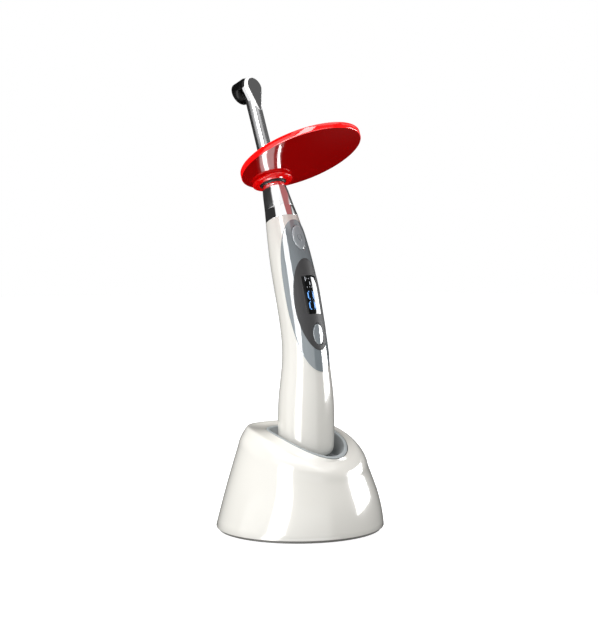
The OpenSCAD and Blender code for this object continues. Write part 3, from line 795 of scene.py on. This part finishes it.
def make_head():
    """Housing cut out for the plate and the tube, the ring at its front, and the lens in the ring."""
    place = head_frame()
    front = -HEAD_REACH
    outline = [[0, -0.75], [HEAD_R, -0.75], [HEAD_R, front + 1.4], [4.8, front + 1.4], [4.8, -3.9], [0, -3.9]]
    body = turned("head_shell", outline, place, "light_barrel", ["head_housing"], n=160, rounding=0.25)
    slab = prism([[-10, -20], [10, -20], [10, -0.6], [-10, -0.6]], -2.9, 8, place)
    bore = prism(circle(TUBE_R + 0.05, 96), 40, HEAD_S + 0.1, axis_frame())
    cut(body, slab, bore)
    r = HEAD_R + 0.1
    lip = [[4.05, 0.3], [4.4, 0], [5.7, 0], [r, 0.3], [r, 1.3], [4.85, 1.3], [4.85, 1], [4.05, 1]]
    rim = turned("lens_rim", [[x, front + z] for x, z in lip],
                 place, "light_barrel", ["lens_ring"], n=160, rounding=0.12)
    glass = [[0, 0.35], [1, 0.37], [2, 0.45], [3, 0.6], [4, 0.8], [4, 1.1], [4.7, 1.1], [4.7, 1.9], [0, 1.9]]
    lens = turned("lamp_lens", [[x, front + z] for x, z in glass],
                  place, "light_barrel", ["head_lens"], n=128, rounding=0.05)
    return body, rim, lens


# ---------------------------------------------------------------- light shield
def make_liner():
    outline = [[5.85, 19.5], [6.15, 19.4], [6.3, 19.6], [6.3, 20.3],
               [7, 20.4], [7, 25.6], [5.5, 25.6], [5.5, 22], [5.85, 20.5]]
    return turned("liner_skin", outline, axis_frame(), "shield_mount", ["shield_liner"], n=160, rounding=0.12)


def make_grommet():
    """Red ring: a rounded lobe under the disc, a slot that holds the disc, and a collar above it."""
    under = [[7.06, 20.2], [7.2, 20.06], [7.6, 20.02]]
    lobe = [[8.9 + 1.6 * cosd(a), 21.2 + 1.18 * sind(a)] for a in range(-90, 78, 6)]
    low, high = SHIELD_S - 0.02, SHIELD_S + SHIELD_T + 0.02
    slot = [[9.2, low], [7.45, low], [7.45, high], [8.3, high]]
    collar = [[8.1, 26.4], [7.06, 26.4]]
    return turned("grommet_skin", under + lobe + slot + collar,
                  axis_frame(), "shield", ["shield_grommet"], n=192, rounding=0.08)


def make_disc():
    """Oval disc with rolled edges, round a hole on the barrel's axis."""
    a, b = SHIELD_SIZE[0] / 2, SHIELD_SIZE[1] / 2
    edge = 0.45
    n = 320
    roll = ((1, 0), (0.6, 0.08), (0.29, 0.29), (0.08, 0.6), (0, 1))
    lower = [(edge * inset, edge * z) for inset, z in roll]
    upper = [(inset, SHIELD_T - z) for inset, z in lower[::-1]]
    rows = [[[SHIELD_OFFSET + (a - inset) * cosd(t), (b - inset) * sind(t), z] for t in turn(n)]
            for inset, z in lower + upper]
    rows += [[[x, y, z] for x, y in circle(7.5, n)] for z in (SHIELD_T, 0)]
    disc = finish_mesh("disc_skin", *grid(rows, loop=True),
                       axis_frame(SHIELD_S), "shield", ["shield_disc"], sharp=50)
    disc.visible_glossy = False
    return disc


# ---------------------------------------------------------------- materials
ROUGH_SPREAD = 0.15
COAT_ROUGH = 0.02
BUMP_HEIGHT = 0.0001


def material(name, color, rough, metal=0.0, coat=0.0, mottle=0.02, mottle_scale=40, grain=2500, bump=0.02,
             stretch=(1, 1, 1), glow=None, glow_strength=0.0, clear=0.0, ior=1.5, spec=0.5, coat_ior=1.5):
    """Procedural surface: colour that drifts a little, roughness that varies, and a fine bump."""
    m = bpy.data.materials.new(name)
    m.use_nodes = True
    nodes, links = m.node_tree.nodes, m.node_tree.links
    nodes.clear()
    out = nodes.new("ShaderNodeOutputMaterial")
    shader = nodes.new("ShaderNodeBsdfPrincipled")
    links.new(shader.outputs["BSDF"], out.inputs["Surface"])
    where = nodes.new("ShaderNodeTexCoord")
    scale = nodes.new("ShaderNodeMapping")
    scale.inputs["Scale"].default_value = stretch
    links.new(where.outputs["Object"], scale.inputs["Vector"])

    def noise(size, detail):
        n = nodes.new("ShaderNodeTexNoise")
        n.inputs["Scale"].default_value = size
        n.inputs["Detail"].default_value = detail
        links.new(scale.outputs["Vector"], n.inputs["Vector"])
        return n.outputs["Fac"]

    blend = nodes.new("ShaderNodeMix")
    blend.data_type = "RGBA"
    blend.inputs["A"].default_value = (*[c * (1 - mottle) for c in color], 1)
    blend.inputs["B"].default_value = (*[min(1.0, c * (1 + mottle)) for c in color], 1)
    links.new(noise(mottle_scale, 3), blend.inputs["Factor"])
    links.new(blend.outputs["Result"], shader.inputs["Base Color"])
    fine = noise(grain, 4)
    spread = nodes.new("ShaderNodeMapRange")
    spread.inputs["To Min"].default_value = rough * (1 - ROUGH_SPREAD)
    spread.inputs["To Max"].default_value = rough * (1 + ROUGH_SPREAD)
    links.new(fine, spread.inputs["Value"])
    links.new(spread.outputs["Result"], shader.inputs["Roughness"])
    relief = nodes.new("ShaderNodeBump")
    relief.inputs["Strength"].default_value = bump
    relief.inputs["Distance"].default_value = BUMP_HEIGHT
    links.new(fine, relief.inputs["Height"])
    links.new(relief.outputs["Normal"], shader.inputs["Normal"])
    shader.inputs["Metallic"].default_value = metal
    shader.inputs["IOR"].default_value = ior
    shader.inputs["Specular IOR Level"].default_value = spec
    shader.inputs["Coat Weight"].default_value = coat
    shader.inputs["Coat Roughness"].default_value = COAT_ROUGH
    shader.inputs["Coat IOR"].default_value = coat_ior
    shader.inputs["Transmission Weight"].default_value = clear
    if glow:
        shader.inputs["Emission Color"].default_value = (*glow, 1)
        shader.inputs["Emission Strength"].default_value = glow_strength
    return m


def rgb(r, g, b):
    """Linear colour from screen values of 0 to 255."""
    def lin(v):
        v /= 255
        return v / 12.92 if v <= 0.04045 else ((v + 0.055) / 1.055) ** 2.4
    return [lin(r), lin(g), lin(b)]


def materials(rows):
    """One material for each row of name, colour, roughness and the settings that differ from the usual."""
    return {name: material(name, color, rough, **more) for name, color, rough, more in rows}


SMOOTH = dict(mottle=0.01, grain=300, bump=0.002)
# Emission colour for the red shield and grommet materials: a painted glow, since these parts give off no
# light of their own
RED_PAINTED_GLOW = rgb(255, 0, 0)
# The record's slots
MATERIALS = materials([
    ("white_shell", rgb(244, 242, 235), 0.2,
     dict(coat=0.8, coat_ior=1.6, mottle=0.01, grain=1200, bump=0.006)),
    ("grey_overlay", rgb(144, 153, 158), 0.1, dict(coat=1.0, coat_ior=1.8, grain=1800, bump=0.008)),
    ("dark_bezel", rgb(76, 76, 77), 0.5, dict(spec=0.15, mottle=0.04, grain=2600)),
    ("display_glass", rgb(9, 10, 12), 0.05, dict(coat=0.5, mottle=0.1, grain=900, bump=0.003)),
    ("button_light", rgb(152, 160, 165), 0.1, dict(coat=0.8, coat_ior=1.8, grain=1500, bump=0.006)),
    ("cup_grey", rgb(170, 176, 178), 0.3, dict(spec=0.25, mottle=0.03, grain=1600, bump=0.01)),
    ("black_rubber", rgb(30, 30, 31), 0.55, dict(mottle=0.1, grain=1700, bump=0.08)),
    ("black_plastic", rgb(12, 12, 12), 0.3, dict(spec=0.12, mottle=0.06, grain=1500, bump=0.015)),
    ("frame_plastic", rgb(70, 70, 74), 0.5, dict(mottle=0.08, grain=900, bump=0.06)),
    ("polished_chrome", [0.9, 0.9, 0.91], 0.16,
     dict(metal=1, mottle=0.01, grain=700, bump=0.002, stretch=(1, 1, 0.2))),
    ("steel", [0.56, 0.56, 0.58], 0.3, dict(metal=1, mottle=0.05, grain=900, bump=0.05, stretch=(1, 8, 1))),
    ("gold_contact", [0.9, 0.68, 0.3], 0.2, dict(metal=1, mottle=0.05, grain=1400)),
    ("circuit_board", rgb(22, 92, 48), 0.35,
     dict(coat=0.3, mottle=0.12, mottle_scale=400, grain=700, bump=0.05)),
    ("cell_wrap", rgb(54, 96, 168), 0.3, dict(coat=0.3, mottle=0.05, grain=500, bump=0.04)),
    # Shield disc: base red with a faint painted glow
    ("red_shield", rgb(150, 0, 0), 0.08,
     dict(ior=2.8, glow=RED_PAINTED_GLOW, glow_strength=0.14, **SMOOTH)),
    # Red grommet: saturated red with a faint painted glow
    ("red_rubber", rgb(240, 0, 0), 0.15,
     dict(spec=0.3, mottle=0.03, grain=900, bump=0.01, glow=RED_PAINTED_GLOW, glow_strength=0.12)),
    ("clear_lens", [0.9, 0.94, 1.0], 0.03, dict(clear=0.9, **SMOOTH)),
    ("led_yellow", [0.95, 0.72, 0.15], 0.4, dict(mottle=0.1, mottle_scale=900, grain=2000, bump=0.05)),
    ("heat_metal", [0.75, 0.75, 0.77], 0.35,
     dict(metal=1, mottle=0.05, grain=600, bump=0.05, stretch=(6, 1, 1))),
    ("wire_red", rgb(170, 40, 36), 0.5, dict(mottle=0.06, grain=1200, bump=0.04)),
])
# Looks of pieces or faces that differ from their slot's
EXTRA = materials([
    ("mirror_chrome", [0.9, 0.9, 0.91], 0.04,
     dict(metal=1, mottle=0.01, grain=700, bump=0.001, stretch=(1, 1, 0.2))),
    # Rim of the shield disc: bright red with a strong emission, a painted glow that stands in for the lit rim
    ("shield_edge_painted_glow", rgb(250, 0, 0), 0.3,
     dict(coat=1, coat_ior=1.85, spec=0.05, glow=RED_PAINTED_GLOW, glow_strength=0.9, **SMOOTH)),
    # Top of the shield disc: a lighter red than the underside, painted light on the upward side
    ("shield_top_painted_light", rgb(170, 0, 0), 0.12,
     dict(spec=0.3, glow=RED_PAINTED_GLOW, glow_strength=0.14, **SMOOTH)),
    # Inside of the cup below its rim: a darker grey as painted shade in the recess, with less shine
    ("cup_inside_painted_shade", rgb(156, 160, 162), 0.5, dict(spec=0.05, mottle=0.03, grain=1600, bump=0.01)),
    ("digit_blue", rgb(110, 170, 235), 0.3,
     dict(mottle=0.08, mottle_scale=900, glow=rgb(96, 160, 240), glow_strength=0.8)),
    ("icon_white", rgb(215, 220, 225), 0.35,
     dict(mottle=0.06, mottle_scale=900, glow=rgb(215, 222, 235), glow_strength=0.35)),
    # Bevel of the head plate: rougher chrome with a white emission, a painted sheen
    ("soft_chrome_painted_sheen", [0.95, 0.95, 0.95], 0.45,
     dict(metal=1, mottle=0.01, grain=700, bump=0.002, glow=(1, 1, 1), glow_strength=0.35)),
    ("foot_rubber", rgb(112, 111, 108), 0.6, dict(mottle=0.08, grain=1700, bump=0.06)),
    ("power_grey", rgb(176, 184, 189), 0.1, dict(coat=0.8, coat_ior=1.7, grain=1500, bump=0.006)),
    ("mark_light", rgb(205, 211, 214), 0.1, dict(coat=0.5, mottle=0.04, grain=1500, bump=0.01)),
    ("mark_dark", rgb(104, 111, 116), 0.1, dict(coat=0.5, mottle=0.04, grain=1500, bump=0.01)),
])


def paint(obj, slot_name, mat=None):
    """Gives the piece its material: the one given, or else the material of the record's slot."""
    obj.data.materials.clear()
    obj.data.materials.append(mat or MATERIALS[slot_name])
    for p in obj.data.polygons:
        p.material_index = 0


def repaint(obj, look, chosen):
    """Gives the faces that are chosen a look of their own."""
    obj.data.materials.append(EXTRA[look])
    index = len(obj.data.materials) - 1
    for face in obj.data.polygons:
        if chosen(face):
            face.material_index = index


def local_up(place):
    """Direction of a frame's z."""
    return (place.to_3x3() @ Vector((0, 0, 1))).normalized()


def paint_nodes():
    """Gives the CAD's own nodes the material of their slot."""
    for part in frame["record"]["subparts"]:
        node = frame["nodes"][part["node"]]
        node.data.materials.clear()
        node.data.materials.append(MATERIALS[part["material_slot"]])
        for p in node.data.polygons:
            p.use_smooth = True
            p.material_index = 0


# ---------------------------------------------------------------- build
paint_nodes()

for o in make_base_shell():
    paint(o, "white_shell")
cup = make_well_cup()
paint(cup, "cup_grey")
# The cup's faces more than 0.3 mm below the rim get the darker grey of painted shade
repaint(cup, "cup_inside_painted_shade", lambda face: face.center.z / MM < rim_height(face.center.x / MM) - 0.3)
paint(make_foot(), "black_rubber", EXTRA["foot_rubber"])

for o in (*make_handle(), make_end_cap()):
    paint(o, "white_shell")

overlay, bezel = make_panel()
paint(overlay, "grey_overlay")
paint(bezel, "dark_bezel")
lens, digits, icons = make_display()
paint(lens, "display_glass")
paint(digits, "display_glass", EXTRA["digit_blue"])
paint(icons, "display_glass", EXTRA["icon_white"])
power, mode, power_symbol, power_outline = make_buttons()
paint(power, "grey_overlay", EXTRA["power_grey"])
paint(mode, "button_light")
paint(power_symbol, "grey_overlay", EXTRA["mark_dark"])
paint(power_outline, "grey_overlay", EXTRA["mark_light"])

paint(make_neck_ring(), "polished_chrome", EXTRA["mirror_chrome"])
paint(make_barrel(), "polished_chrome")
plate = make_head_plate()
paint(plate, "polished_chrome", EXTRA["mirror_chrome"])
plate_up = local_up(head_frame())
# The plate's bevel faces get chrome with a white emission as a painted sheen
repaint(plate, "soft_chrome_painted_sheen", lambda face: 0.1 < face.normal.dot(plate_up) < 0.97)
housing, lens_ring, lamp_lens = make_head()
paint(housing, "black_plastic")
paint(lens_ring, "black_plastic")
paint(lamp_lens, "clear_lens")

paint(make_liner(), "black_rubber")
paint(make_grommet(), "red_rubber")
disc = make_disc()
paint(disc, "red_shield")
shield_up = local_up(axis_frame())
# The disc's rim faces get a bright red with a painted glow, and its top faces a lighter red as painted light
repaint(disc, "shield_edge_painted_glow", lambda face: abs(face.normal.dot(shield_up)) < 0.9)
repaint(disc, "shield_top_painted_light", lambda face: face.normal.dot(shield_up) >= 0.9)


# ---------------------------------------------------------------- stage, light and camera
# Places and distances of the camera, the lights and the floor are in metres.
CAMERA_AT = Vector((0.4777, -0.4016, 0.1262))
CAMERA_BEARING = math.degrees(math.atan2(CAMERA_AT.y, CAMERA_AT.x))
LOOK_BEARING = 140
LOOK_PITCH = -1.588
LENS_MM = 72.48
SENSOR_MM = 36


def direction(bearing, pitch):
    return Vector((cosd(bearing) * cosd(pitch), sind(bearing) * cosd(pitch), sind(pitch)))


def add_camera():
    data = bpy.data.cameras.new("camera")
    data.lens = LENS_MM
    data.sensor_width = SENSOR_MM
    data.clip_start = 0.01
    data.clip_end = 50
    cam = bpy.data.objects.new("camera", data)
    look = direction(LOOK_BEARING, LOOK_PITCH)
    cam.location = CAMERA_AT
    cam.rotation_euler = look.to_track_quat("-Z", "Y").to_euler()
    bpy.context.scene.collection.objects.link(cam)
    bpy.context.scene.camera = cam


def glowing(name, strength, color):
    """Material that gives off light and nothing else."""
    m = bpy.data.materials.new(name)
    m.use_nodes = True
    nodes = m.node_tree.nodes
    nodes.clear()
    out = nodes.new("ShaderNodeOutputMaterial")
    glow = nodes.new("ShaderNodeEmission")
    glow.inputs["Color"].default_value = (*color, 1)
    glow.inputs["Strength"].default_value = strength
    m.node_tree.links.new(glow.outputs["Emission"], out.inputs["Surface"])
    return m


# Glowing windows of the studio, seen only in reflections: from and to in bearing (degrees from the camera,
# + to the right), from and to in height above the horizon, brightness, softness of the edge, slant (degrees
# aside per degree up) and tilt (degrees up per degree aside).
WINDOWS = {
    "strip": (-44, -18, -50, 45, 7, 1.2, 0.35, 0),
    "left_panel": (-88, -40, -90, 48.5, 0.9, 3, 0, 0.45),
    "front_low": (-30, 45, -60, 24, 0.95, 4, 0, 0),
    "front_mid": (-30, 50, 24, 45, 0.2, 3, 0, 0),
    "front_high": (-5, 80, 45, 80, 1.1, 2, 0, 0),
    "front_left": (-52, -5, 45, 90, 1.1, 2, 0, 0.34),
    "front_floor": (-60, 60, -90, -25, 1.2, 8, 0, 0),
    "left_dim": (-150, -50, -60, 60, 0.03, 8, 0, 0),
    "right_dim": (52, 150, -70, 66, 0.11, 16, 0, 0),
    "ceiling": (-180, 180, 62, 90, 1.5, 6, 0, 0),
    "high_right": (60, 180, 50, 66, 1.2, 2, 0, 0),
}
STUDIO_DARK = 0.004
# Even light that shades the object, and how much it changes towards the right and the camera
ROOM_FILL = 0.62
FILL_ASIDE = -0.12
FILL_AHEAD = 0.08
BACKDROP = 1.0


def add_world():
    """Studio: windows for reflections, an even fill for shading, and a white backdrop for the camera."""
    world = bpy.data.worlds.new("studio")
    bpy.context.scene.world = world
    world.use_nodes = True
    nodes, links = world.node_tree.nodes, world.node_tree.links
    nodes.clear()

    def put(v, target):
        if isinstance(v, (int, float)):
            target.default_value = v
        else:
            links.new(v, target)

    def calc(op, a, b=0.0):
        n = nodes.new("ShaderNodeMath")
        n.operation = op
        put(a, n.inputs[0])
        put(b, n.inputs[1])
        return n.outputs[0]

    def ramp(v, low, high):
        n = nodes.new("ShaderNodeMapRange")
        n.interpolation_type = "SMOOTHSTEP"
        put(v, n.inputs["Value"])
        n.inputs["From Min"].default_value = low
        n.inputs["From Max"].default_value = high
        return n.outputs["Result"]

    def along_axis(vec):
        n = nodes.new("ShaderNodeVectorMath")
        n.operation = "DOT_PRODUCT"
        links.new(where.outputs["Generated"], n.inputs[0])
        n.inputs[1].default_value = vec
        return n.outputs["Value"]

    where = nodes.new("ShaderNodeTexCoord")
    flat = Vector((CAMERA_AT.x, CAMERA_AT.y, 0)).normalized()
    ahead = along_axis(flat)
    aside = along_axis((-flat.y, flat.x, 0))
    up = along_axis((0, 0, 1))
    bearing = calc("MULTIPLY", calc("ARCTAN2", aside, ahead), 180 / math.pi)
    height = calc("MULTIPLY", calc("ARCSINE", calc("MINIMUM", calc("MAXIMUM", up, -1.0), 1.0)), 180 / math.pi)

    def window(a0, a1, h0, h1, soft, slant, tilt):
        across = calc("SUBTRACT", bearing, calc("MULTIPLY", height, slant))
        over = calc("SUBTRACT", height, calc("MULTIPLY", bearing, tilt))
        inside = calc("MULTIPLY", ramp(across, a0 - soft, a0 + soft),
                      calc("SUBTRACT", 1.0, ramp(across, a1 - soft, a1 + soft)))
        inside = calc("MULTIPLY", inside, ramp(over, h0 - soft, h0 + soft))
        return calc("MULTIPLY", inside, calc("SUBTRACT", 1.0, ramp(over, h1 - soft, h1 + soft)))

    total = STUDIO_DARK
    for a0, a1, h0, h1, power, soft, slant, tilt in WINDOWS.values():
        total = calc("ADD", calc("MULTIPLY", window(a0, a1, h0, h1, soft, slant, tilt), power), total)
    mirror = nodes.new("ShaderNodeBackground")
    links.new(total, mirror.inputs["Strength"])
    room = nodes.new("ShaderNodeBackground")
    fill = calc("ADD", calc("MULTIPLY", aside, FILL_ASIDE), calc("MULTIPLY", ahead, FILL_AHEAD))
    links.new(calc("ADD", fill, ROOM_FILL), room.inputs["Strength"])
    seen = nodes.new("ShaderNodeBackground")
    seen.inputs["Strength"].default_value = BACKDROP
    for n in (mirror, room, seen):
        n.inputs["Color"].default_value = (1, 1, 1, 1)
    path = nodes.new("ShaderNodeLightPath")
    pick = nodes.new("ShaderNodeMixShader")
    show = nodes.new("ShaderNodeMixShader")
    out = nodes.new("ShaderNodeOutputWorld")
    links.new(path.outputs["Is Glossy Ray"], pick.inputs["Fac"])
    links.new(room.outputs["Background"], pick.inputs[1])
    links.new(mirror.outputs["Background"], pick.inputs[2])
    links.new(path.outputs["Is Camera Ray"], show.inputs["Fac"])
    links.new(pick.outputs["Shader"], show.inputs[1])
    links.new(seen.outputs["Background"], show.inputs[2])
    links.new(show.outputs["Shader"], out.inputs["Surface"])


def softbox(name, verts, strength, color=(1, 1, 1)):
    """Glowing panel that only shows in reflections. Its corners are in millimetres."""
    mesh = bpy.data.meshes.new(name)
    mesh.from_pydata([Vector(v) * MM for v in verts], [], [tuple(range(len(verts)))])
    mesh.materials.append(glowing(name + "_glow", strength, color))
    obj = bpy.data.objects.new(name, mesh)
    bpy.context.scene.collection.objects.link(obj)
    obj.visible_camera = False
    obj.visible_diffuse = False
    obj.visible_transmission = False
    obj.visible_shadow = False


def standing_softbox(name, away, corners, strength):
    """Softbox at one distance all over. Its corners are bearings from the camera and heights."""
    softbox(name, [(away * cosd(CAMERA_BEARING + a), away * sind(CAMERA_BEARING + a), z) for a, z in corners],
            strength)


def add_shield_glow():
    """The shield hides from reflections. This panel inside it stands in for the part the neck would show."""
    place = axis_frame(SHIELD_S + SHIELD_T / 2)
    corners = ((9, 0, 0), (80, 0, 0), (80, 34, 0), (9, 30, 0))
    softbox("shield_glow", [place @ Vector(v) for v in corners], 1, (0.46, 0.15, 0.15))


LIGHT_AWAY = 1.5
AIM_Z = 0.1


def area_light(name, side, high, size, watts):
    """Soft light for shading, not seen in reflections. side is its bearing from the camera."""
    data = bpy.data.lights.new(name, "AREA")
    data.shape = "SQUARE"
    data.size = size
    data.energy = watts
    obj = bpy.data.objects.new(name, data)
    obj.location = direction(CAMERA_BEARING + side, high) * LIGHT_AWAY
    obj.location.z += AIM_Z
    obj.rotation_euler = (obj.location - Vector((0, 0, AIM_Z))).to_track_quat("Z", "Y").to_euler()
    obj.visible_glossy = False
    obj.visible_camera = False
    bpy.context.scene.collection.objects.link(obj)


FLOOR_HALF = 6
FLOOR_Z = -0.0005


def add_floor():
    mesh = bpy.data.meshes.new("floor")
    corners = [(x * FLOOR_HALF, y * FLOOR_HALF, FLOOR_Z) for x, y in ((-1, -1), (1, -1), (1, 1), (-1, 1))]
    mesh.from_pydata(corners, [], [(0, 1, 2, 3)])
    mesh.materials.append(material("floor_white", [0.5, 0.5, 0.5], 0.9, spec=0.0, mottle=0.005,
                                   mottle_scale=3, grain=60, bump=0.002, glow=(1, 1, 1), glow_strength=0.9))
    obj = bpy.data.objects.new("floor", mesh)
    bpy.context.scene.collection.objects.link(obj)
    obj.visible_glossy = False
    obj.visible_diffuse = False


add_camera()
add_world()
add_floor()
area_light("key", side=-70, high=26, size=0.9, watts=8.5)
area_light("top", side=-20, high=84, size=1.2, watts=15.5)
standing_softbox("side_softbox", 450, [(84, 55), (122, 80), (128, 225), (98, 330), (86, 190)], 12)
standing_softbox("neck_softbox", 160,
                 [(75, 335), (75, 300), (100, 255), (130, 210), (130, 262), (100, 295)], 0.7)
add_shield_glow()
bpy.context.scene.view_settings.view_transform = "Standard"
